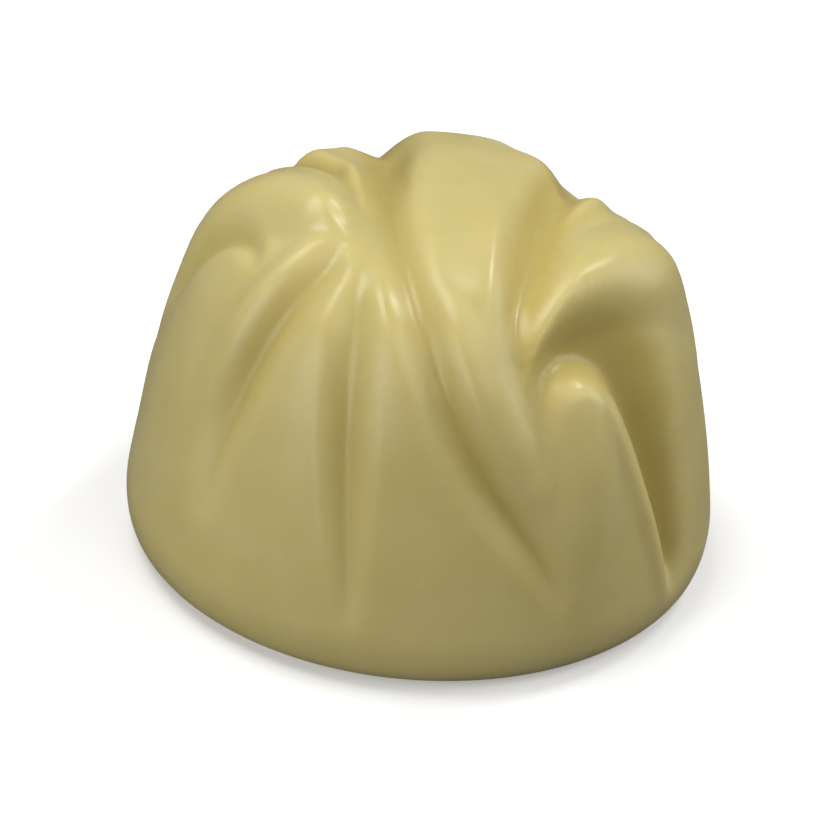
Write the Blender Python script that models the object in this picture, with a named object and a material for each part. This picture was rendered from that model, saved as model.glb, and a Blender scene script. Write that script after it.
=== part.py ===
"""A moulded white chocolate truffle: one solid, flat-bottomed dome whose skin is drawn into soft folds.

The plain dome is a turned profile. Every fold is a stroke drawn on the unrolled skin and pushed in or
out along the dome's normal. Heights and widths are in millimetres until the mesh is made, in metres.
"""

import math

import bpy
import bmesh
import numpy as np

MM = 0.001

# Driving dimensions, in millimetres
WIDEST_RADIUS = 15.0
WIDEST_HEIGHT = 2.2
BASE_RADIUS = 13.6
CROWN_HEIGHT = 20.1

# Spacing of the points on the skin, along a stroke and along the profile
SKIN_STEP = 0.59
STROKE_STEP = 0.15
PROFILE_STEP = 0.05

# The folds fade out between these two heights, so that the rim above the base is a plain circle
FOLD_FADE_LOW = 1.6
FOLD_FADE_HIGH = 4.5

# How much of a crease's width is rounded at its bottom
CREASE_SOFTNESS = 0.7

# Folds that cross are blended with this exponent: a larger one lets the deeper fold win
BLEND = 2.4

CHOCOLATE_COLOUR = (0.60, 0.50, 0.22)
CHOCOLATE_ROUGHNESS = 0.38

# The dome's profile from the crown to the widest ring and round to the flat base: radius, height
PROFILE = [
    (0.0, CROWN_HEIGHT),
    (3.0, 19.95),
    (6.0, 19.4),
    (8.5, 18.6),
    (10.4, 17.3),
    (11.7, 15.6),
    (12.6, 13.6),
    (13.3, 11.4),
    (13.9, 9.0),
    (14.4, 6.6),
    (14.8, 4.2),
    (WIDEST_RADIUS, WIDEST_HEIGHT),
    (14.65, 0.75),
    (BASE_RADIUS, 0.0),
]

# Each stroke is a row of points: x, y, height, width on its left hand, width on its right hand.
# x and y are measured along the skin from the crown, x to the right and y to the back. A hand is the
# side seen by someone who walks the stroke from its first point. A valley's height is its depth.

# Creases and valleys: deepest on the centre line, easing out into full, pillowed sides
CREASES = {
    "notch_and_long_valley": [
        (-6.6, 15.4, 0.0, 1.6, 1.6),
        (-5.2, 12.4, 0.7, 2.4, 2.2),
        (-4.0, 9.4, 1.2, 2.6, 2.4),
        (-3.3, 6.0, 1.3, 2.6, 2.4),
        (-3.0, 2.6, 1.0, 2.2, 2.2),
        (-2.8, -0.4, 0.7, 2.0, 1.9),
        (-2.4, -3.4, 0.65, 1.8, 1.8),
        (-1.6, -6.8, 0.65, 1.7, 1.8),
        (-0.6, -10.0, 0.65, 1.6, 2.0),
        (0.6, -12.9, 0.7, 1.6, 2.2),
        (2.2, -15.3, 0.75, 1.6, 2.3),
        (4.5, -17.4, 0.75, 1.6, 2.3),
        (7.2, -18.9, 0.65, 1.5, 2.2),
        (10.1, -20.2, 0.4, 1.3, 1.9),
        (13.0, -21.4, 0.0, 1.0, 1.4),
    ],
    "valley_left_front": [
        (-4.5, -5.3, 0.0, 1.0, 0.9),
        (-5.5, -6.6, 0.35, 1.8, 1.5),
        (-6.8, -7.9, 0.6, 2.3, 1.9),
        (-8.7, -9.4, 0.75, 2.7, 2.2),
        (-11.0, -11.1, 0.75, 3.0, 2.3),
        (-13.1, -12.6, 0.55, 2.8, 2.2),
        (-15.1, -14.2, 0.3, 2.4, 1.9),
        (-17.2, -16.0, 0.0, 1.8, 1.5),
    ],
    "valley_front": [
        (-3.6, -6.3, 0.0, 0.9, 0.9),
        (-3.95, -9.3, 0.35, 1.7, 1.5),
        (-4.2, -11.6, 0.5, 2.1, 1.9),
        (-4.55, -14.0, 0.6, 2.3, 2.1),
        (-4.85, -16.6, 0.65, 2.4, 2.2),
        (-5.0, -19.2, 0.55, 2.4, 2.1),
        (-5.0, -22.4, 0.35, 2.2, 1.8),
        (-4.9, -26.0, 0.0, 1.6, 1.3),
    ],
    "valley_right_of_centre": [
        (17.0, 15.6, 0.0, 2.0, 2.0),
        (13.6, 13.2, 0.2, 2.6, 2.6),
        (10.8, 10.4, 0.3, 2.6, 3.0),
        (8.3, 7.3, 0.6, 2.2, 2.8),
        (6.7, 4.6, 1.05, 2.2, 2.6),
        (5.7, 1.9, 1.2, 2.1, 2.4),
        (5.1, -0.8, 1.25, 2.1, 2.2),
        (4.75, -3.2, 1.2, 2.2, 2.1),
        (4.5, -6.0, 1.05, 2.3, 2.1),
        (4.4, -8.8, 0.85, 2.2, 2.0),
        (4.8, -11.3, 0.6, 1.9, 1.8),
        (5.8, -13.0, 0.35, 1.7, 1.7),
        (7.0, -14.8, 0.0, 1.4, 1.6),
    ],
    "crease_behind_right_arch": [
        (26.0, 10.0, 0.0, 2.2, 2.2),
        (20.0, 8.8, 0.45, 2.8, 2.8),
        (14.4, 6.6, 0.3, 2.8, 2.4),
        (10.4, 4.0, 0.15, 2.2, 1.8),
        (7.9, 1.4, 0.3, 1.7, 1.5),
        (6.5, -0.8, 0.4, 1.6, 1.3),
        (5.6, -2.6, 0.35, 1.4, 1.1),
        (5.0, -4.2, 0.15, 1.1, 1.0),
        (4.6, -5.8, 0.0, 1.0, 0.9),
    ],
    "hook_left": [
        (-23.0, 3.2, 0.0, 1.3, 1.2),
        (-19.0, 1.5, 0.1, 1.3, 1.2),
        (-15.0, -0.5, 0.35, 1.4, 1.2),
        (-12.1, -1.6, 0.55, 1.5, 1.2),
        (-10.4, -2.5, 0.55, 1.4, 1.2),
        (-9.5, -3.8, 0.35, 1.1, 1.1),
        (-9.2, -5.6, 0.0, 0.9, 0.9),
    ],
    "crease_behind_left_roll": [
        (-18.0, 10.4, 0.0, 1.6, 1.6),
        (-13.0, 8.8, 0.3, 1.6, 1.6),
        (-9.9, 6.8, 0.5, 1.3, 1.6),
        (-7.9, 5.0, 0.7, 1.2, 1.6),
        (-6.4, 3.6, 0.7, 1.2, 1.5),
        (-5.5, 2.2, 0.6, 1.2, 1.4),
        (-4.9, 0.5, 0.4, 1.1, 1.2),
        (-4.55, -1.5, 0.25, 1.0, 1.1),
        (-4.4, -3.6, 0.0, 1.0, 0.9),
    ],
    "hollow_under_right_arch": [
        (8.2, -16.8, 0.0, 2.0, 1.8),
        (7.1, -14.4, 0.3, 2.0, 1.8),
        (6.5, -12.4, 0.7, 2.0, 1.8),
        (6.8, -10.8, 1.15, 2.6, 2.0),
        (7.9, -9.5, 1.55, 3.6, 2.3),
        (9.6, -8.8, 1.75, 4.8, 2.5),
        (11.7, -8.8, 1.8, 5.4, 2.7),
        (14.0, -9.6, 1.7, 5.2, 2.8),
        (16.4, -10.5, 1.5, 4.6, 2.8),
        (19.2, -11.5, 1.15, 3.8, 2.5),
        (22.2, -12.6, 0.7, 2.8, 2.1),
        (25.8, -13.9, 0.0, 1.6, 1.6),
    ],
    "valley_behind": [
        (0.9, 12.2, 0.0, 1.2, 1.2),
        (-0.4, 14.2, 0.6, 1.5, 1.5),
        (-2.4, 16.6, 0.8, 1.6, 1.5),
        (-5.4, 18.9, 0.7, 1.6, 1.5),
        (-9.0, 20.8, 0.5, 1.4, 1.4),
        (-13.0, 22.0, 0.0, 1.2, 1.2),
    ],
}

# Rolls, ridges and rims: full, rounded forms that stand out of the dome
RIDGES = {
    "left_roll": [
        (-24.0, 1.5, 0.0, 2.4, 2.4),
        (-19.5, 2.0, 0.25, 2.6, 2.6),
        (-15.5, 1.6, 0.35, 2.8, 2.8),
        (-11.5, 0.9, 0.75, 3.4, 3.4),
        (-8.6, -0.2, 1.0, 3.4, 3.4),
        (-7.0, -1.4, 1.1, 2.9, 3.0),
        (-6.2, -2.4, 1.15, 2.4, 2.6),
    ],
    "ridge_under_left_roll": [
        (-5.6, -4.2, 0.3, 1.3, 1.3),
        (-6.6, -5.7, 0.4, 1.5, 1.5),
        (-8.2, -7.1, 0.4, 1.7, 1.7),
        (-10.7, -8.6, 0.3, 1.9, 1.9),
        (-16.0, -11.2, 0.0, 2.2, 2.2),
    ],
    "ridge_left_of_front_valley": [
        (-4.8, -7.4, 0.0, 1.2, 1.2),
        (-5.6, -9.6, 0.1, 1.6, 1.6),
        (-6.8, -12.0, 0.08, 2.0, 2.0),
        (-9.6, -17.0, 0.0, 3.0, 3.0),
    ],
    "ridge_right_of_front_valley": [
        (-2.7, -7.8, 0.0, 1.2, 1.2),
        (-2.2, -10.2, 0.1, 1.5, 1.5),
        (-1.6, -12.8, 0.08, 1.8, 1.8),
        (-1.0, -18.0, 0.0, 2.8, 2.8),
    ],
    "centre_band_crest": [
        (1.2, 3.0, 0.0, 2.0, 2.0),
        (2.0, -1.5, 0.25, 1.6, 2.4),
        (2.3, -4.5, 0.35, 1.4, 2.4),
        (2.4, -7.2, 0.25, 1.4, 2.2),
        (2.6, -10.0, 0.0, 1.2, 1.8),
    ],
    "centre_band_tail": [
        (0.6, -7.6, 0.0, 1.0, 1.0),
        (1.3, -10.0, 0.2, 1.5, 1.3),
        (2.6, -12.6, 0.25, 1.7, 1.4),
        (4.8, -15.2, 0.25, 1.9, 1.5),
        (8.4, -17.8, 0.0, 2.0, 1.6),
    ],
    "small_ridge_right": [
        (10.8, 4.6, 0.0, 2.0, 2.0),
        (8.6, 2.8, 0.1, 2.0, 1.8),
        (7.0, 0.6, 0.15, 1.6, 1.5),
        (6.1, -1.4, 0.15, 1.2, 1.2),
        (5.4, -3.6, 0.0, 0.9, 0.9),
    ],
    "right_arch": [
        (4.9, -11.4, 0.0, 1.4, 1.2),
        (5.4, -9.6, 0.3, 1.8, 1.5),
        (6.3, -7.5, 0.5, 2.2, 2.2),
        (7.6, -5.2, 0.75, 2.5, 3.0),
        (9.2, -2.9, 0.9, 2.8, 3.6),
        (11.4, -0.9, 0.85, 3.0, 3.8),
        (14.2, 0.4, 0.3, 3.2, 3.6),
        (18.5, 1.0, 0.0, 3.2, 3.2),
    ],
    "leaf_rim": [
        (10.6, -10.6, 0.0, 1.8, 1.6),
        (13.3, -11.4, 0.15, 2.0, 1.8),
        (15.7, -12.3, 0.22, 2.0, 1.8),
        (18.4, -13.2, 0.25, 1.9, 1.8),
        (21.2, -14.1, 0.2, 1.7, 1.7),
        (25.0, -15.6, 0.0, 1.3, 1.5),
    ],
    "leaf_body": [
        (8.6, -10.4, 0.0, 1.8, 1.8),
        (9.5, -12.2, 0.3, 2.3, 2.3),
        (10.8, -14.2, 0.5, 2.8, 2.8),
        (12.4, -16.8, 0.4, 3.2, 3.4),
        (14.0, -20.0, 0.15, 3.0, 3.6),
        (15.4, -23.0, 0.0, 2.6, 3.4),
    ],
}

# Places where the whole skin lies lower than the plain dome
SINKS = {
    "low_shoulder_back_right": [
        (3.4, 12.8, 0.0, 3.6, 3.6),
        (5.0, 10.8, 0.55, 4.0, 4.0),
        (7.0, 8.4, 1.0, 4.4, 4.2),
        (9.0, 4.8, 0.8, 4.0, 3.2),
        (10.8, 2.8, 0.05, 3.4, 3.0),
        (13.4, 2.6, 0.05, 3.2, 3.0),
        (17.0, 3.4, 0.0, 3.0, 3.0),
    ],
    "low_lobe_back_left": [
        (-4.6, 1.8, 0.0, 1.6, 1.6),
        (-4.9, 5.0, 0.5, 2.0, 1.6),
        (-5.4, 8.0, 0.3, 2.2, 1.6),
        (-6.6, 11.0, 0.0, 2.4, 2.0),
    ],
    "floor_beside_left_roll": [
        (-3.8, 7.0, 0.0, 1.8, 1.8),
        (-3.6, 4.2, 0.5, 2.0, 1.9),
        (-3.5, 1.4, 0.85, 2.0, 1.8),
        (-3.4, -1.4, 0.9, 2.0, 1.7),
        (-3.3, -4.0, 0.65, 1.9, 1.5),
        (-3.2, -6.4, 0.25, 1.6, 1.3),
        (-3.1, -8.6, 0.0, 1.2, 1.0),
    ],
}

# The far side repeats these forms of the near side, half a turn round
HALF_TURN_COPIES = (
    (CREASES, "hollow_under_right_arch"),
    (CREASES, "valley_front"),
    (RIDGES, "leaf_rim"),
    (RIDGES, "leaf_body"),
)


def clear_scene():
    """Remove what a new file holds, so that the scene has only the truffle."""
    for old in list(bpy.data.objects):
        bpy.data.objects.remove(old)


def smooth_path(points, step):
    """Sample a curve that runs smoothly through rows of numbers, about one row every step."""
    rows = np.array(points, dtype=float)
    ahead = np.vstack([rows[1:], 2 * rows[-1] - rows[-2]])
    behind = np.vstack([2 * rows[0] - rows[1], rows[:-1]])
    slopes = (ahead - behind) / 2
    samples = []
    for start, end, slope_in, slope_out in zip(rows[:-1], rows[1:], slopes[:-1], slopes[1:]):
        length = math.hypot(end[0] - start[0], end[1] - start[1])
        t = np.arange(0, 1, min(0.5, step / length))[:, None]
        samples.append(
            start * (2 * t**3 - 3 * t**2 + 1)
            + slope_in * (t**3 - 2 * t**2 + t)
            + end * (3 * t**2 - 2 * t**3)
            + slope_out * (t**3 - t**2)
        )
    return np.vstack(samples + [rows[-1:]])


def add_half_turn_copies():
    """Turn the named strokes half round the crown and file them beside the ones they repeat."""
    for strokes, name in HALF_TURN_COPIES:
        strokes[name + "_behind"] = [(-x, -y, *rest) for x, y, *rest in strokes[name]]


def dome_profile():
    """The profile as columns: distance along the skin from the crown, radius, height, outward normal."""
    curve = smooth_path(PROFILE, PROFILE_STEP)
    radius, height = curve.T
    along = np.concatenate([[0.0], np.cumsum(np.hypot(np.diff(radius), np.diff(height)))])
    slope_radius = np.gradient(radius, along)
    slope_height = np.gradient(height, along)
    size = np.hypot(slope_radius, slope_height)
    return along, radius, height, -slope_height / size, slope_radius / size


def stroke_heights(x, y, strokes, shape):
    """Blend the strokes at the skin points x, y. shape gives the cross section from 0 (centre) to 1."""
    total = np.zeros_like(x)
    for points in strokes.values():
        path = smooth_path(points, STROKE_STEP)
        headings = np.gradient(path[:, :2], axis=0)
        headings /= np.linalg.norm(headings, axis=1)[:, None]
        gap_x = x[:, None] - path[None, :, 0]
        gap_y = y[:, None] - path[None, :, 1]
        nearest = np.argmin(gap_x**2 + gap_y**2, axis=1)
        row = np.arange(len(x))
        gap = np.stack([gap_x[row, nearest], gap_y[row, nearest]])
        heading = headings[nearest].T
        aside = heading[0] * gap[1] - heading[1] * gap[0]
        beyond = np.maximum(np.abs((heading * gap).sum(axis=0)) - STROKE_STEP, 0)
        width = np.where(aside > 0, path[nearest, 3], path[nearest, 4])
        reach = np.minimum(np.hypot(aside, beyond) / width, 1.0)
        height = np.maximum(path[nearest, 2], 0.0)
        total += (height * shape(reach)) ** BLEND
    return total ** (1 / BLEND)


def crease_shape(reach):
    """Steep near the centre line, but rounded over CREASE_SOFTNESS of the width."""
    eased = np.sqrt(reach**2 + CREASE_SOFTNESS**2) - CREASE_SOFTNESS
    return (1 - eased / (math.sqrt(1 + CREASE_SOFTNESS**2) - CREASE_SOFTNESS)) ** 2


def rounded_shape(reach):
    """Full and round on top, running out level at the edge."""
    return (1 - reach**2) ** 2


def fold_offset(x, y, height):
    """How far the skin stands out of the plain dome at each point."""
    offset = stroke_heights(x, y, RIDGES, rounded_shape)
    offset -= stroke_heights(x, y, SINKS, rounded_shape)
    offset -= stroke_heights(x, y, CREASES, crease_shape)
    rise = np.clip((height - FOLD_FADE_LOW) / (FOLD_FADE_HIGH - FOLD_FADE_LOW), 0, 1)
    return offset * rise * rise * (3 - 2 * rise)


def skin_rings():
    """Rings of points from the crown to the edge of the base, each with its points evenly spaced."""
    along, radius, height, normal_out, normal_up = dome_profile()
    ring_count = round(along[-1] / SKIN_STEP)
    rings = []
    for ring in range(1, ring_count + 1):
        distance = along[-1] * ring / ring_count
        ring_radius, ring_height, out, up = (
            np.interp(distance, along, column) for column in (radius, height, normal_out, normal_up)
        )
        point_count = max(6, round(2 * math.pi * ring_radius / SKIN_STEP))
        angle = 2 * math.pi * np.arange(point_count) / point_count
        x = distance * np.cos(angle)
        y = distance * np.sin(angle)
        offset = fold_offset(x, y, ring_height)
        spread = ring_radius + out * offset
        raised = ring_height + up * offset
        rings.append(np.stack([spread * np.cos(angle), spread * np.sin(angle), raised], axis=1))
    return rings


def stitch(mesh, inner, outer):
    """Fill the band between two rings of vertices that both start at angle 0."""
    i = 0
    j = 0
    while i < len(inner) or j < len(outer):
        if i == len(inner) or (j < len(outer) and (j + 1) * len(inner) <= (i + 1) * len(outer)):
            mesh.faces.new((inner[i % len(inner)], outer[j], outer[(j + 1) % len(outer)]))
            j += 1
        else:
            mesh.faces.new((inner[i], outer[j % len(outer)], inner[(i + 1) % len(inner)]))
            i += 1


def next_around(ring):
    return zip(ring, ring[1:] + ring[:1])


def close_with_centre(mesh, ring, centre):
    for vertex, following in next_around(ring):
        mesh.faces.new((centre, vertex, following))


def build_truffle_mesh():
    mesh = bmesh.new()
    rings = []
    for points in skin_rings():
        rings.append([mesh.verts.new(MM * point) for point in points])
    crown_offset = fold_offset(np.zeros(1), np.zeros(1), CROWN_HEIGHT)[0]
    crown = mesh.verts.new((0, 0, MM * (CROWN_HEIGHT + crown_offset)))
    base_centre = mesh.verts.new((0, 0, 0))
    close_with_centre(mesh, rings[0], crown)
    for inner, outer in zip(rings[:-1], rings[1:]):
        stitch(mesh, inner, outer)
    bmesh.ops.beautify_fill(mesh, faces=mesh.faces[:], edges=mesh.edges[:], method="ANGLE")
    close_with_centre(mesh, rings[-1][::-1], base_centre)
    for vertex, following in next_around(rings[-1]):
        mesh.edges.get((vertex, following)).smooth = False
    data = bpy.data.meshes.new("truffle")
    mesh.to_mesh(data)
    mesh.free()
    data.shade_smooth()
    return data


def white_chocolate():
    material = bpy.data.materials.new("white_chocolate")
    material.use_nodes = True
    shader = material.node_tree.nodes["Principled BSDF"]
    shader.inputs["Base Color"].default_value = (*CHOCOLATE_COLOUR, 1)
    shader.inputs["Roughness"].default_value = CHOCOLATE_ROUGHNESS
    shader.inputs["Metallic"].default_value = 0
    return material


def main():
    clear_scene()
    add_half_turn_copies()
    truffle = bpy.data.objects.new("truffle", build_truffle_mesh())
    truffle.data.materials.append(white_chocolate())
    bpy.context.scene.collection.objects.link(truffle)


main()
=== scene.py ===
"""White chocolate truffle: the looks of one moulded piece, its floor, its lights and its camera.

The skin is built again here from the same fold strokes as the solid, with much finer faces. Everything is
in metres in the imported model's frame, except the profile, the strokes and the marks, in millimetres.
"""

import math

import bmesh
import bpy
import numpy as np
from bpy.props import FloatProperty, FloatVectorProperty, PointerProperty
from bpy.types import Operator, Panel, PropertyGroup
from mathutils import Euler, Matrix, Vector


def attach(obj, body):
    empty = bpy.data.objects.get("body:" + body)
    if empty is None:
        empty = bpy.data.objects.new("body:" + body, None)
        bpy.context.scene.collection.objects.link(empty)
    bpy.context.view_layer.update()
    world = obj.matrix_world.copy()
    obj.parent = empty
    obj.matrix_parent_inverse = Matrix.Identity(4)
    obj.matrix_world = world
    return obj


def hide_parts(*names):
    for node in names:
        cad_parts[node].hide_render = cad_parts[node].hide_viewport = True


bl_info = {
    "name": "White chocolate truffle",
    "version": (1, 0, 0),
    "blender": (4, 5, 0),
    "location": "View3D > Sidebar > Truffle",
    "description": "Makes a moulded white chocolate truffle with soft folds, on a pale floor",
    "category": "Object",
}

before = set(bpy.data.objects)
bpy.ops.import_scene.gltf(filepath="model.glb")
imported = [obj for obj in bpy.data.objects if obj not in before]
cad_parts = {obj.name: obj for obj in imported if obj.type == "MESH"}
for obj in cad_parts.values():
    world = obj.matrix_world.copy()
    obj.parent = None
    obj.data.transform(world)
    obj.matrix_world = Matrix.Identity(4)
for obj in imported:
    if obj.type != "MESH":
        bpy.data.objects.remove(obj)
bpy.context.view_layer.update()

MM = 0.001

# The plain dome under the folds, in millimetres
CROWN_HEIGHT = 20.1
WIDEST_RADIUS = 15.0

# Spacing of the points along a stroke and along the profile
STROKE_STEP = 0.15
PROFILE_STEP = 0.05

# Edges that bend more than this are drawn sharp
SHARP_EDGE_ANGLE = math.radians(60)

# The folds fade out between these two heights, so that the rim above the base is a plain circle
FOLD_FADE_LOW = 1.6
FOLD_FADE_HIGH = 4.5

# How much of a crease's width is rounded at its bottom
CREASE_SOFTNESS = 0.3

# Folds that cross are blended with this exponent: a larger one lets the deeper fold win
BLEND = 2.4

# The dome's profile from the crown to the widest ring and round to the flat base: radius, height
PROFILE = [
    (0.0, CROWN_HEIGHT),
    (3.0, 19.95),
    (6.0, 19.4),
    (8.5, 18.6),
    (10.4, 17.3),
    (11.7, 15.6),
    (12.6, 13.6),
    (13.3, 11.4),
    (13.9, 9.0),
    (14.4, 6.6),
    (14.8, 4.2),
    (WIDEST_RADIUS, 2.2),
    (14.65, 0.75),
    (13.6, 0.0),
]

# Each stroke is a row of points: x, y, height, width on its left hand, width on its right hand.
# x and y are measured along the skin from the crown, x to the right and y to the back. A hand is the
# side seen by someone who walks the stroke from its first point. A valley's height is its depth.

# Creases and valleys: deepest on the centre line, easing out into full, pillowed sides
CREASES = {
    "notch_and_long_valley": [
        (-6.6, 15.4, 0.0, 1.6, 1.6),
        (-5.2, 12.4, 0.7, 2.4, 2.2),
        (-4.0, 9.4, 1.2, 2.6, 2.4),
        (-3.3, 6.0, 1.3, 2.6, 2.4),
        (-3.0, 2.6, 1.0, 2.2, 2.2),
        (-2.8, -0.4, 0.7, 2.0, 1.9),
        (-2.4, -3.4, 0.65, 1.8, 1.8),
        (-1.6, -6.8, 0.65, 1.7, 1.8),
        (-0.6, -10.0, 0.65, 1.6, 2.0),
        (0.6, -12.9, 0.7, 1.6, 2.2),
        (2.2, -15.3, 0.75, 1.6, 2.3),
        (4.5, -17.4, 0.75, 1.6, 2.3),
        (7.2, -18.9, 0.65, 1.5, 2.2),
        (10.1, -20.2, 0.4, 1.3, 1.9),
        (13.0, -21.4, 0.0, 1.0, 1.4),
    ],
    "valley_left_front": [
        (-4.5, -5.3, 0.0, 1.0, 0.9),
        (-5.5, -6.6, 0.35, 1.8, 1.5),
        (-6.8, -7.9, 0.6, 2.3, 1.9),
        (-8.7, -9.4, 0.75, 2.7, 2.2),
        (-11.0, -11.1, 0.75, 3.0, 2.3),
        (-13.1, -12.6, 0.55, 2.8, 2.2),
        (-15.1, -14.2, 0.3, 2.4, 1.9),
        (-17.2, -16.0, 0.0, 1.8, 1.5),
    ],
    "valley_front": [
        (-3.6, -6.3, 0.0, 0.9, 0.9),
        (-3.95, -9.3, 0.35, 1.7, 1.5),
        (-4.2, -11.6, 0.5, 2.1, 1.9),
        (-4.55, -14.0, 0.6, 2.3, 2.1),
        (-4.85, -16.6, 0.65, 2.4, 2.2),
        (-5.0, -19.2, 0.55, 2.4, 2.1),
        (-5.0, -22.4, 0.35, 2.2, 1.8),
        (-4.9, -26.0, 0.0, 1.6, 1.3),
    ],
    "valley_right_of_centre": [
        (17.0, 15.6, 0.0, 2.0, 2.0),
        (13.6, 13.2, 0.2, 2.6, 2.6),
        (10.8, 10.4, 0.3, 2.6, 3.0),
        (8.3, 7.3, 0.6, 2.2, 2.8),
        (6.7, 4.6, 1.05, 2.2, 2.6),
        (5.7, 1.9, 1.2, 2.1, 2.4),
        (5.1, -0.8, 1.25, 2.1, 2.2),
        (4.75, -3.2, 1.2, 2.2, 2.1),
        (4.5, -6.0, 1.05, 2.3, 2.1),
        (4.4, -8.8, 0.85, 2.2, 2.0),
        (4.8, -11.3, 0.6, 1.9, 1.8),
        (5.8, -13.0, 0.35, 1.7, 1.7),
        (7.0, -14.8, 0.0, 1.4, 1.6),
    ],
    "crease_behind_right_arch": [
        (26.0, 10.0, 0.0, 2.2, 2.2),
        (20.0, 8.8, 0.45, 2.8, 2.8),
        (14.4, 6.6, 0.3, 2.8, 2.4),
        (10.4, 4.0, 0.15, 2.2, 1.8),
        (7.9, 1.4, 0.3, 1.7, 1.5),
        (6.5, -0.8, 0.4, 1.6, 1.3),
        (5.6, -2.6, 0.35, 1.4, 1.1),
        (5.0, -4.2, 0.15, 1.1, 1.0),
        (4.6, -5.8, 0.0, 1.0, 0.9),
    ],
    "hook_left": [
        (-23.0, 3.2, 0.0, 1.3, 1.2),
        (-19.0, 1.5, 0.1, 1.3, 1.2),
        (-15.0, -0.5, 0.35, 1.4, 1.2),
        (-12.1, -1.6, 0.55, 1.5, 1.2),
        (-10.4, -2.5, 0.55, 1.4, 1.2),
        (-9.5, -3.8, 0.35, 1.1, 1.1),
        (-9.2, -5.6, 0.0, 0.9, 0.9),
    ],
    "crease_behind_left_roll": [
        (-18.0, 10.4, 0.0, 1.6, 1.6),
        (-13.0, 8.8, 0.3, 1.6, 1.6),
        (-9.9, 6.8, 0.5, 1.3, 1.6),
        (-7.9, 5.0, 0.7, 1.2, 1.6),
        (-6.4, 3.6, 0.7, 1.2, 1.5),
        (-5.5, 2.2, 0.6, 1.2, 1.4),
        (-4.9, 0.5, 0.4, 1.1, 1.2),
        (-4.55, -1.5, 0.25, 1.0, 1.1),
        (-4.4, -3.6, 0.0, 1.0, 0.9),
    ],
    "hollow_under_right_arch": [
        (8.2, -16.8, 0.0, 2.0, 1.8),
        (7.1, -14.4, 0.3, 2.0, 1.8),
        (6.5, -12.4, 0.7, 2.0, 1.8),
        (6.8, -10.8, 1.15, 2.6, 2.0),
        (7.9, -9.5, 1.55, 3.6, 2.3),
        (9.6, -8.8, 1.75, 4.8, 2.5),
        (11.7, -8.8, 1.8, 5.4, 2.7),
        (14.0, -9.6, 1.7, 5.2, 2.8),
        (16.4, -10.5, 1.5, 4.6, 2.8),
        (19.2, -11.5, 1.15, 3.8, 2.5),
        (22.2, -12.6, 0.7, 2.8, 2.1),
        (25.8, -13.9, 0.0, 1.6, 1.6),
    ],
    "valley_behind": [
        (0.9, 12.2, 0.0, 1.2, 1.2),
        (-0.4, 14.2, 0.6, 1.5, 1.5),
        (-2.4, 16.6, 0.8, 1.6, 1.5),
        (-5.4, 18.9, 0.7, 1.6, 1.5),
        (-9.0, 20.8, 0.5, 1.4, 1.4),
        (-13.0, 22.0, 0.0, 1.2, 1.2),
    ],
}

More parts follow.
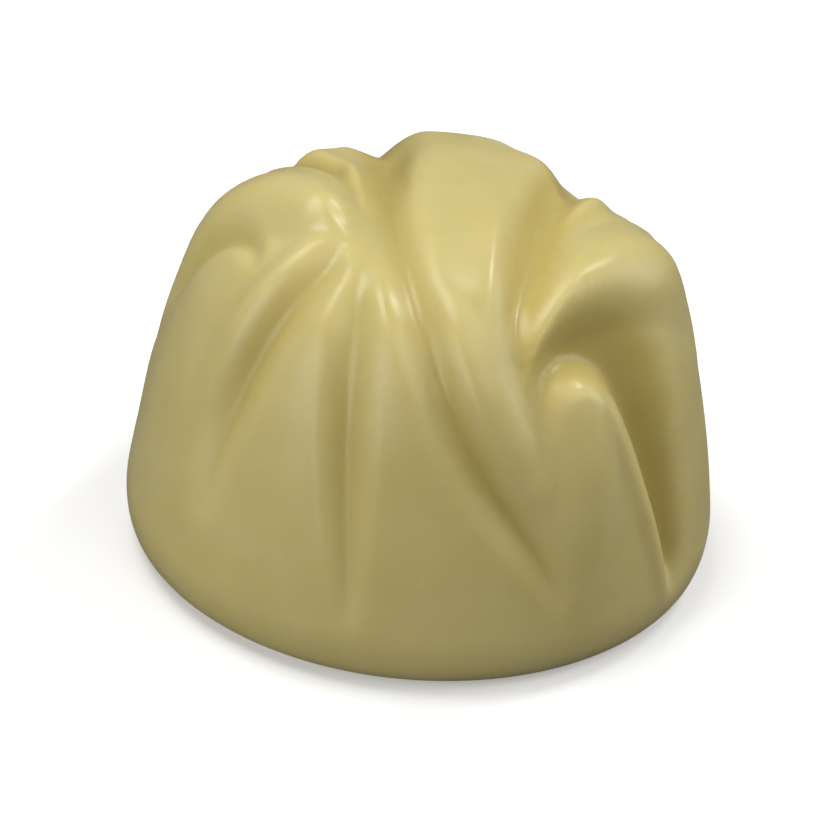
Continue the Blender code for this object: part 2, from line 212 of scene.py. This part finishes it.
# Rolls, ridges and rims: full, rounded forms that stand out of the dome
RIDGES = {
    "left_roll": [
        (-24.0, 1.5, 0.0, 2.4, 2.4),
        (-19.5, 2.0, 0.25, 2.6, 2.6),
        (-15.5, 1.6, 0.35, 2.8, 2.8),
        (-11.5, 0.9, 0.75, 3.4, 3.4),
        (-8.6, -0.2, 1.0, 3.4, 3.4),
        (-7.0, -1.4, 1.1, 2.9, 3.0),
        (-6.2, -2.4, 1.15, 2.4, 2.6),
    ],
    "ridge_under_left_roll": [
        (-5.6, -4.2, 0.3, 1.3, 1.3),
        (-6.6, -5.7, 0.4, 1.5, 1.5),
        (-8.2, -7.1, 0.4, 1.7, 1.7),
        (-10.7, -8.6, 0.3, 1.9, 1.9),
        (-16.0, -11.2, 0.0, 2.2, 2.2),
    ],
    "ridge_left_of_front_valley": [
        (-4.8, -7.4, 0.0, 1.2, 1.2),
        (-5.6, -9.6, 0.1, 1.6, 1.6),
        (-6.8, -12.0, 0.08, 2.0, 2.0),
        (-9.6, -17.0, 0.0, 3.0, 3.0),
    ],
    "ridge_right_of_front_valley": [
        (-2.7, -7.8, 0.0, 1.2, 1.2),
        (-2.2, -10.2, 0.1, 1.5, 1.5),
        (-1.6, -12.8, 0.08, 1.8, 1.8),
        (-1.0, -18.0, 0.0, 2.8, 2.8),
    ],
    "centre_band_crest": [
        (1.2, 3.0, 0.0, 2.0, 2.0),
        (2.0, -1.5, 0.25, 1.6, 2.4),
        (2.3, -4.5, 0.35, 1.4, 2.4),
        (2.4, -7.2, 0.25, 1.4, 2.2),
        (2.6, -10.0, 0.0, 1.2, 1.8),
    ],
    "centre_band_tail": [
        (0.6, -7.6, 0.0, 1.0, 1.0),
        (1.3, -10.0, 0.2, 1.5, 1.3),
        (2.6, -12.6, 0.25, 1.7, 1.4),
        (4.8, -15.2, 0.25, 1.9, 1.5),
        (8.4, -17.8, 0.0, 2.0, 1.6),
    ],
    "small_ridge_right": [
        (10.8, 4.6, 0.0, 2.0, 2.0),
        (8.6, 2.8, 0.1, 2.0, 1.8),
        (7.0, 0.6, 0.15, 1.6, 1.5),
        (6.1, -1.4, 0.15, 1.2, 1.2),
        (5.4, -3.6, 0.0, 0.9, 0.9),
    ],
    "right_arch": [
        (4.9, -11.4, 0.0, 1.4, 1.2),
        (5.4, -9.6, 0.3, 1.8, 1.5),
        (6.3, -7.5, 0.5, 2.2, 2.2),
        (7.6, -5.2, 0.75, 2.5, 3.0),
        (9.2, -2.9, 0.9, 2.8, 3.6),
        (11.4, -0.9, 0.85, 3.0, 3.8),
        (14.2, 0.4, 0.3, 3.2, 3.6),
        (18.5, 1.0, 0.0, 3.2, 3.2),
    ],
    "leaf_rim": [
        (10.6, -10.6, 0.0, 1.8, 1.6),
        (13.3, -11.4, 0.15, 2.0, 1.8),
        (15.7, -12.3, 0.22, 2.0, 1.8),
        (18.4, -13.2, 0.25, 1.9, 1.8),
        (21.2, -14.1, 0.2, 1.7, 1.7),
        (25.0, -15.6, 0.0, 1.3, 1.5),
    ],
    "leaf_body": [
        (8.6, -10.4, 0.0, 1.8, 1.8),
        (9.5, -12.2, 0.3, 2.3, 2.3),
        (10.8, -14.2, 0.5, 2.8, 2.8),
        (12.4, -16.8, 0.4, 3.2, 3.4),
        (14.0, -20.0, 0.15, 3.0, 3.6),
        (15.4, -23.0, 0.0, 2.6, 3.4),
    ],
}

# Places where the whole skin lies lower than the plain dome
SINKS = {
    "low_shoulder_back_right": [
        (3.4, 12.8, 0.0, 3.6, 3.6),
        (5.0, 10.8, 0.55, 4.0, 4.0),
        (7.0, 8.4, 1.0, 4.4, 4.2),
        (9.0, 4.8, 0.8, 4.0, 3.2),
        (10.8, 2.8, 0.05, 3.4, 3.0),
        (13.4, 2.6, 0.05, 3.2, 3.0),
        (17.0, 3.4, 0.0, 3.0, 3.0),
    ],
    "low_lobe_back_left": [
        (-4.6, 1.8, 0.0, 1.6, 1.6),
        (-4.9, 5.0, 0.5, 2.0, 1.6),
        (-5.4, 8.0, 0.3, 2.2, 1.6),
        (-6.6, 11.0, 0.0, 2.4, 2.0),
    ],
    "floor_beside_left_roll": [
        (-3.8, 7.0, 0.0, 1.8, 1.8),
        (-3.6, 4.2, 0.5, 2.0, 1.9),
        (-3.5, 1.4, 0.85, 2.0, 1.8),
        (-3.4, -1.4, 0.9, 2.0, 1.7),
        (-3.3, -4.0, 0.65, 1.9, 1.5),
        (-3.2, -6.4, 0.25, 1.6, 1.3),
        (-3.1, -8.6, 0.0, 1.2, 1.0),
    ],
}

# The far side repeats these forms of the near side, half a turn round
HALF_TURN_COPIES = (
    (CREASES, "hollow_under_right_arch"),
    (CREASES, "valley_front"),
    (RIDGES, "leaf_rim"),
    (RIDGES, "leaf_body"),
)

# Small marks of demoulding and handling: x, y, height (a pit where it is below zero), radius
SMALL_MARKS = [
    (0.9, -23.2, 0.05, 0.22),
    (0.5, -23.0, -0.04, 0.25),
]

# The photograph's viewing angle, and where the middle of its lens looks
CAMERA_ELEVATION = math.radians(31)
CAMERA_ROLL = math.radians(5.07)
CAMERA_DISTANCE = 0.2
CAMERA_LENS = 172
CAMERA_SHIFT = (-0.0173, -0.0222)
LOOK_AT = Vector((0, 0, 0.008))

# The lamps: name, direction it shines from (x, y, z), distance, size, strength in watts
LAMPS = [
    ("front_left_softbox", (-0.60, -0.72, 0.34), 0.40, 0.32, 0.76),
    ("overhead_left_softbox", (-0.34, 0.10, 0.94), 0.40, 0.24, 0.80),
    ("right_softbox", (0.58, -0.35, 0.74), 0.40, 0.30, 0.40),
    ("far_right_softbox", (0.90, 0.25, 0.36), 0.40, 0.26, 0.42),
    ("small_ceiling_lamp", (0.45, 0.38, 0.80), 0.40, 0.08, 0.32),
]

# The floor is a lit table, 3 m wide, and this much light comes through it
FLOOR_HALF_WIDTH = 1.5
FLOOR_GLOW = 0.25

# The hollows of the floor's tooth have this share of its colour
FLOOR_TOOTH = 0.985

# The light that the studio's walls give back from all round
ROOM_GLOW = 0.1


def linear(hex_colour):
    """An sRGB hex colour as linear red, green and blue."""
    channels = [int(hex_colour[start : start + 2], 16) / 255 for start in (1, 3, 5)]
    return tuple(c / 12.92 if c <= 0.04045 else ((c + 0.055) / 1.055) ** 2.4 for c in channels)


class TruffleShape(PropertyGroup):
    """Sizes of the moulded piece."""

    diameter: FloatProperty(
        name="Diameter",
        description="Widest diameter, just above the base",
        default=2 * WIDEST_RADIUS * MM,
        min=0.01,
        subtype="DISTANCE",
        unit="LENGTH",
    )
    height: FloatProperty(
        name="Height",
        description="Height of the plain dome under the folds",
        default=CROWN_HEIGHT * MM,
        min=0.005,
        subtype="DISTANCE",
        unit="LENGTH",
    )
    fold_strength: FloatProperty(
        name="Fold strength",
        description="How deep the folds are: 0 is the plain dome, 1 is the photographed piece",
        default=1.0,
        min=0.0,
        max=1.2,
    )
    skin_step: FloatProperty(
        name="Skin step",
        description="Distance between the points of the skin",
        default=0.19 * MM,
        min=0.0001,
        subtype="DISTANCE",
        unit="LENGTH",
    )


class TruffleFinish(PropertyGroup):
    """Colours and gloss of the white chocolate."""

    chocolate: FloatVectorProperty(
        name="Chocolate",
        description="Main colour of the white chocolate",
        default=linear("#d9cb8c"),
        min=0,
        max=1,
        subtype="COLOR",
    )
    butter: FloatVectorProperty(
        name="Butter",
        description="Yellower colour of places with more cocoa butter",
        default=linear("#d3c583"),
        min=0,
        max=1,
        subtype="COLOR",
    )
    # Painted shade: the darker, yellower colour laid into the creases by their depth
    crease: FloatVectorProperty(
        name="Crease",
        description="Deeper yellow of the creases, where light passes from wall to wall",
        default=linear("#ccba70"),
        min=0,
        max=1,
        subtype="COLOR",
    )
    gloss_low: FloatProperty(
        name="Roughness where polished",
        description="Roughness where the mould's polish is perfect",
        default=0.28,
        min=0,
        max=1,
    )
    gloss_high: FloatProperty(
        name="Roughness where dull",
        description="Roughness where cocoa butter has dulled the surface",
        default=0.36,
        min=0,
        max=1,
    )


class TruffleStage(PropertyGroup):
    """Floor and light around the piece."""

    floor: FloatVectorProperty(
        name="Floor",
        description="Colour of the floor",
        default=linear("#f7f7f7"),
        min=0,
        max=1,
        subtype="COLOR",
    )
    light: FloatProperty(
        name="Light",
        description="Factor on the strength of every lamp",
        default=1.0,
        min=0,
    )


def smooth_path(points, step):
    """Sample a curve that runs smoothly through rows of numbers, about one row every step."""
    rows = np.array(points, dtype=float)
    ahead = np.vstack([rows[1:], 2 * rows[-1] - rows[-2]])
    behind = np.vstack([2 * rows[0] - rows[1], rows[:-1]])
    slopes = (ahead - behind) / 2
    samples = []
    for start, end, slope_in, slope_out in zip(rows[:-1], rows[1:], slopes[:-1], slopes[1:]):
        length = math.hypot(end[0] - start[0], end[1] - start[1])
        t = np.arange(0, 1, min(0.5, step / length))[:, None]
        samples.append(
            start * (2 * t**3 - 3 * t**2 + 1)
            + slope_in * (t**3 - 2 * t**2 + t)
            + end * (3 * t**2 - 2 * t**3)
            + slope_out * (t**3 - t**2)
        )
    return np.vstack(samples + [rows[-1:]])


def with_half_turn_copies(strokes):
    """The strokes with the far side's copies added."""
    behind = {
        name + "_behind": [(-x, -y, *rest) for x, y, *rest in strokes[name]]
        for group, name in HALF_TURN_COPIES
        if group is strokes
    }
    return [*strokes.values(), *behind.values()]


def dome_profile():
    """The profile as columns: distance along the skin from the crown, radius, height, normal."""
    radius, height = smooth_path(PROFILE, PROFILE_STEP).T
    along = np.concatenate([[0.0], np.cumsum(np.hypot(np.diff(radius), np.diff(height)))])
    slope_radius = np.gradient(radius, along)
    slope_height = np.gradient(height, along)
    size = np.hypot(slope_radius, slope_height)
    return along, radius, height, -slope_height / size, slope_radius / size


def stroke_heights(x, y, strokes, shape):
    """Blend the strokes at the skin points x, y. shape is the cross section from 0 (centre) to 1."""
    total = np.zeros_like(x)
    for points in strokes:
        path = smooth_path(points, STROKE_STEP)
        headings = np.gradient(path[:, :2], axis=0)
        headings /= np.linalg.norm(headings, axis=1)[:, None]
        gap_x = x[:, None] - path[None, :, 0]
        gap_y = y[:, None] - path[None, :, 1]
        nearest = np.argmin(gap_x**2 + gap_y**2, axis=1)
        row = np.arange(len(x))
        gap = np.stack([gap_x[row, nearest], gap_y[row, nearest]])
        heading = headings[nearest].T
        aside = heading[0] * gap[1] - heading[1] * gap[0]
        beyond = np.maximum(np.abs((heading * gap).sum(axis=0)) - STROKE_STEP, 0)
        width = np.where(aside > 0, path[nearest, 3], path[nearest, 4])
        reach = np.minimum(np.hypot(aside, beyond) / width, 1.0)
        height = np.maximum(path[nearest, 2], 0.0)
        total += (height * shape(reach)) ** BLEND
    return total ** (1 / BLEND)


def crease_shape(reach):
    """Steep near the centre line, but rounded over CREASE_SOFTNESS of the width."""
    eased = np.sqrt(reach**2 + CREASE_SOFTNESS**2) - CREASE_SOFTNESS
    return (1 - eased / (math.sqrt(1 + CREASE_SOFTNESS**2) - CREASE_SOFTNESS)) ** 2


def rounded_shape(reach):
    """Full and round on top, running out level at the edge."""
    return (1 - reach**2) ** 2


def folds(x, y, height):
    """How far the skin stands out of the plain dome, and how deep it lies in a crease, in millimetres."""
    crease = stroke_heights(x, y, with_half_turn_copies(CREASES), crease_shape)
    offset = stroke_heights(x, y, with_half_turn_copies(RIDGES), rounded_shape)
    offset -= stroke_heights(x, y, with_half_turn_copies(SINKS), rounded_shape)
    rise = np.clip((height - FOLD_FADE_LOW) / (FOLD_FADE_HIGH - FOLD_FADE_LOW), 0, 1)
    kept = rise * rise * (3 - 2 * rise)
    return (offset - crease) * kept, crease * kept


def small_marks(x, y):
    """How far the small marks raise the skin or pit it."""
    marks = np.zeros_like(x)
    for mark_x, mark_y, height, radius in SMALL_MARKS:
        reach = np.minimum(np.hypot(x - mark_x, y - mark_y) / radius, 1.0)
        marks += height * rounded_shape(reach)
    return marks


def skin_rings(step, strength):
    """Rings of evenly spaced points from the crown to the base's edge: x, y, z and crease depth."""
    along, *columns = dome_profile()
    ring_count = round(along[-1] / step)
    rings = []
    for ring in range(1, ring_count + 1):
        distance = along[-1] * ring / ring_count
        radius, height, out, up = (np.interp(distance, along, column) for column in columns)
        point_count = max(6, round(2 * math.pi * radius / step))
        angle = 2 * math.pi * np.arange(point_count) / point_count
        x = distance * np.cos(angle)
        y = distance * np.sin(angle)
        offset, depth = (strength * measure for measure in folds(x, y, height))
        offset += small_marks(x, y)
        spread = radius + out * offset
        raised = height + up * offset
        rings.append(
            np.stack([spread * np.cos(angle), spread * np.sin(angle), raised, depth], axis=1)
        )
    return rings


def stitch(mesh, inner, outer):
    """Fill the band between two rings of vertices that both start at angle 0."""
    i = 0
    j = 0
    while i < len(inner) or j < len(outer):
        if i == len(inner) or (j < len(outer) and (j + 1) * len(inner) <= (i + 1) * len(outer)):
            mesh.faces.new((inner[i % len(inner)], outer[j], outer[(j + 1) % len(outer)]))
            j += 1
        else:
            mesh.faces.new((inner[i], outer[j % len(outer)], inner[(i + 1) % len(inner)]))
            i += 1


def close_with_centre(mesh, ring, centre):
    """Fill a ring of vertices with a fan round the vertex at its centre."""
    for vertex, following in zip(ring, ring[1:] + ring[:1]):
        mesh.faces.new((centre, vertex, following))


def skin_mesh(shape):
    """The closed skin as a mesh, from the shape's settings."""
    wide = shape.diameter / (2 * WIDEST_RADIUS)
    tall = shape.height / CROWN_HEIGHT
    size = np.array([wide, wide, tall])
    mesh = bmesh.new()
    rings = []
    depths = []
    for points in skin_rings(shape.skin_step / wide, shape.fold_strength):
        rings.append([mesh.verts.new(point) for point in points[:, :3] * size])
        depths.extend(points[:, 3])
    crown_offset, crown_depth = (
        shape.fold_strength * measure[0] for measure in folds(np.zeros(1), np.zeros(1), CROWN_HEIGHT)
    )
    crown = mesh.verts.new((0, 0, tall * (CROWN_HEIGHT + crown_offset)))
    depths.extend([crown_depth, 0.0])
    close_with_centre(mesh, rings[0], crown)
    for inner, outer in zip(rings[:-1], rings[1:]):
        stitch(mesh, inner, outer)
    bmesh.ops.beautify_fill(mesh, faces=mesh.faces[:], edges=mesh.edges[:], method="ANGLE")
    close_with_centre(mesh, rings[-1][::-1], mesh.verts.new((0, 0, 0)))
    data = bpy.data.meshes.new("truffle_skin")
    mesh.to_mesh(data)
    mesh.free()
    data.attributes.new("crease_depth", "FLOAT", "POINT").data.foreach_set("value", depths)
    data.shade_smooth()
    data.set_sharp_from_angle(angle=SHARP_EDGE_ANGLE)
    return data


def add_node(tree, kind, settings=None, links=None):
    """Add a node, set its properties and sockets, and link other nodes' outputs to its inputs."""
    node = tree.nodes.new(kind)
    for name, value in (settings or {}).items():
        if name in node.inputs:
            node.inputs[name].default_value = value
        else:
            setattr(node, name, value)
    for name, output in (links or {}).items():
        tree.links.new(output, node.inputs[name])
    return node


def moulded_white_chocolate(finish):
    """White chocolate set against a polished mould.

    It is ivory and slightly translucent, so that creases stay soft, and its creases carry a painted shade
    of darker, deeper yellow. It has a satin gloss that dulls in patches a few millimetres wide.
    """
    material = bpy.data.materials.new("moulded_white_chocolate")
    material.use_nodes = True
    tree = material.node_tree
    shader = tree.nodes["Principled BSDF"]
    place = add_node(tree, "ShaderNodeTexCoord")

    # Cocoa butter gathers in clouds about 5 mm across
    clouds = add_node(
        tree,
        "ShaderNodeTexNoise",
        {"Scale": 1 / (5 * MM), "Detail": 3, "Roughness": 0.5},
        {"Vector": place.outputs["Object"]},
    )
    colours = add_node(tree, "ShaderNodeValToRGB", links={"Fac": clouds.outputs["Fac"]})
    colours.color_ramp.elements[0].position = 0.35
    colours.color_ramp.elements[0].color = (*finish.butter, 1)
    colours.color_ramp.elements[1].position = 0.65
    colours.color_ramp.elements[1].color = (*finish.chocolate, 1)

    # Painted crease shade, for light passing from wall to wall: darker and yellower from 0.15 mm deep,
    # full at 0.7 mm
    depth = add_node(tree, "ShaderNodeAttribute", {"attribute_name": "crease_depth"})
    crease_shade_mask = add_node(
        tree,
        "ShaderNodeMapRange",
        {"From Min": 0.15, "From Max": 0.7},
        {"Value": depth.outputs["Fac"]},
    )
    # The mix node repeats its socket names for each kind of data, so its colour sockets go by number
    # The mix lays the painted crease shade colour over the chocolate's own colours
    crease_shade_mix = add_node(tree, "ShaderNodeMix", {"data_type": "RGBA"})
    factor, under, over = (crease_shade_mix.inputs[index] for index in (0, 6, 7))
    tree.links.new(crease_shade_mask.outputs["Result"], factor)
    tree.links.new(colours.outputs["Color"], under)
    over.default_value = (*finish.crease, 1)
    tree.links.new(crease_shade_mix.outputs[2], shader.inputs["Base Color"])

    # The gloss dulls in patches about 2.5 mm across
    patches = add_node(
        tree,
        "ShaderNodeTexNoise",
        {"Scale": 1 / (2.5 * MM), "Detail": 2, "Roughness": 0.5},
        {"Vector": place.outputs["Object"]},
    )
    gloss = add_node(
        tree,
        "ShaderNodeMapRange",
        {"From Min": 0.3, "From Max": 0.7, "To Min": finish.gloss_low, "To Max": finish.gloss_high},
        {"Value": patches.outputs["Fac"]},
    )
    tree.links.new(gloss.outputs["Result"], shader.inputs["Roughness"])

    # The moulded skin waves by a few micrometres, in ripples about 1.2 mm apart
    ripples = add_node(
        tree,
        "ShaderNodeTexNoise",
        {"Scale": 1 / (1.2 * MM), "Detail": 2, "Roughness": 0.45},
        {"Vector": place.outputs["Object"]},
    )
    bump = add_node(
        tree,
        "ShaderNodeBump",
        {"Strength": 0.3, "Distance": 0.02 * MM},
        {"Height": ripples.outputs["Fac"]},
    )
    tree.links.new(bump.outputs["Normal"], shader.inputs["Normal"])

    shader.inputs["IOR"].default_value = 1.46
    shader.inputs["Subsurface Weight"].default_value = 1.0
    shader.inputs["Subsurface Radius"].default_value = (1.0, 0.75, 0.35)
    shader.inputs["Subsurface Scale"].default_value = 0.8 * MM
    return material


def pale_studio_board(colour):
    """A sheet of pale studio board with a faint, even tooth."""
    material = bpy.data.materials.new("pale_studio_board")
    material.use_nodes = True
    tree = material.node_tree
    shader = tree.nodes["Principled BSDF"]
    place = add_node(tree, "ShaderNodeTexCoord")
    tooth = add_node(
        tree,
        "ShaderNodeTexNoise",
        {"Scale": 1 / (8 * MM), "Detail": 2},
        {"Vector": place.outputs["Object"]},
    )
    colours = add_node(tree, "ShaderNodeValToRGB", links={"Fac": tooth.outputs["Fac"]})
    colours.color_ramp.elements[0].color = (*[FLOOR_TOOTH * c for c in colour], 1)
    colours.color_ramp.elements[1].color = (*colour, 1)
    tree.links.new(colours.outputs["Color"], shader.inputs["Base Color"])
    shader.inputs["Roughness"].default_value = 0.9
    shader.inputs["Specular IOR Level"].default_value = 0.1
    shader.inputs["Emission Color"].default_value = (1, 1, 1, 1)
    shader.inputs["Emission Strength"].default_value = FLOOR_GLOW
    return material


def add_object(name, data):
    """Put a mesh, lamp or camera into the scene as an object."""
    made = bpy.data.objects.new(name, data)
    bpy.context.scene.collection.objects.link(made)
    return made


def add_lamp(name, direction, distance, size, strength):
    """A square soft lamp that shines at the truffle."""
    lamp = bpy.data.lights.new(name, "AREA")
    lamp.size = size
    lamp.energy = strength
    made = add_object(name, lamp)
    towards = Vector(direction).normalized()
    made.location = LOOK_AT + distance * towards
    made.rotation_euler = towards.to_track_quat("Z", "Y").to_euler()
    return made


def add_camera():
    """The camera at the photograph's viewing angle, a little rolled."""
    lens = bpy.data.cameras.new("camera")
    lens.lens = CAMERA_LENS
    lens.shift_x, lens.shift_y = CAMERA_SHIFT
    lens.clip_start = 0.01
    made = add_object("camera", lens)
    back = Vector((0, -math.cos(CAMERA_ELEVATION), math.sin(CAMERA_ELEVATION)))
    made.location = LOOK_AT + CAMERA_DISTANCE * back
    tilt = Euler((math.pi / 2 - CAMERA_ELEVATION, 0, 0)).to_matrix()
    made.rotation_euler = (tilt @ Matrix.Rotation(CAMERA_ROLL, 3, "Z")).to_euler()
    bpy.context.scene.camera = made
    return made


class TRUFFLE_OT_make_skin(Operator):
    """Make the moulded piece with its folds and its white chocolate"""

    bl_idname = "truffle.make_skin"
    bl_label = "Make truffle"

    def execute(self, context):
        skin = add_object("truffle_skin", skin_mesh(context.scene.truffle_shape))
        skin.data.materials.append(moulded_white_chocolate(context.scene.truffle_finish))
        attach(skin, "root")
        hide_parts("truffle")
        return {"FINISHED"}


class TRUFFLE_OT_make_stage(Operator):
    """Make the floor, the soft lamps and the camera"""

    bl_idname = "truffle.make_stage"
    bl_label = "Make stage"

    def execute(self, context):
        stage = context.scene.truffle_stage
        sheet = bmesh.new()
        bmesh.ops.create_grid(sheet, x_segments=1, y_segments=1, size=FLOOR_HALF_WIDTH)
        data = bpy.data.meshes.new("floor")
        sheet.to_mesh(data)
        sheet.free()
        floor = add_object("floor", data)
        floor.data.materials.append(pale_studio_board(stage.floor))
        # The floor doesn't light the piece from below, nor mirror in it
        floor.visible_diffuse = False
        floor.visible_glossy = False
        for name, direction, distance, size, strength in LAMPS:
            add_lamp(name, direction, distance, size, strength * stage.light)
        add_camera()
        world = bpy.data.worlds.new("studio")
        world.use_nodes = True
        background = world.node_tree.nodes["Background"]
        background.inputs["Color"].default_value = (1, 1, 1, 1)
        background.inputs["Strength"].default_value = ROOM_GLOW
        context.scene.world = world
        context.scene.view_settings.view_transform = "Standard"
        return {"FINISHED"}


class VIEW3D_PT_truffle(Panel):
    """Sizes, colours and steps of the truffle"""

    bl_idname = "VIEW3D_PT_truffle"
    bl_label = "White chocolate truffle"
    bl_space_type = "VIEW_3D"
    bl_region_type = "UI"
    bl_category = "Truffle"

    def draw(self, context):
        scene = context.scene
        for settings in (scene.truffle_shape, scene.truffle_finish, scene.truffle_stage):
            box = self.layout.box()
            for name in settings.__annotations__:
                box.prop(settings, name)
        self.layout.operator(TRUFFLE_OT_make_skin.bl_idname)
        self.layout.operator(TRUFFLE_OT_make_stage.bl_idname)


CLASSES = (
    TruffleShape,
    TruffleFinish,
    TruffleStage,
    TRUFFLE_OT_make_skin,
    TRUFFLE_OT_make_stage,
    VIEW3D_PT_truffle,
)


def register():
    for made_class in CLASSES:
        bpy.utils.register_class(made_class)
    bpy.types.Scene.truffle_shape = PointerProperty(type=TruffleShape)
    bpy.types.Scene.truffle_finish = PointerProperty(type=TruffleFinish)
    bpy.types.Scene.truffle_stage = PointerProperty(type=TruffleStage)


def unregister():
    del bpy.types.Scene.truffle_stage
    del bpy.types.Scene.truffle_finish
    del bpy.types.Scene.truffle_shape
    for made_class in reversed(CLASSES):
        bpy.utils.unregister_class(made_class)


def main():
    register()
    bpy.ops.truffle.make_skin()
    bpy.ops.truffle.make_stage()


if __name__ == "__main__":
    main()
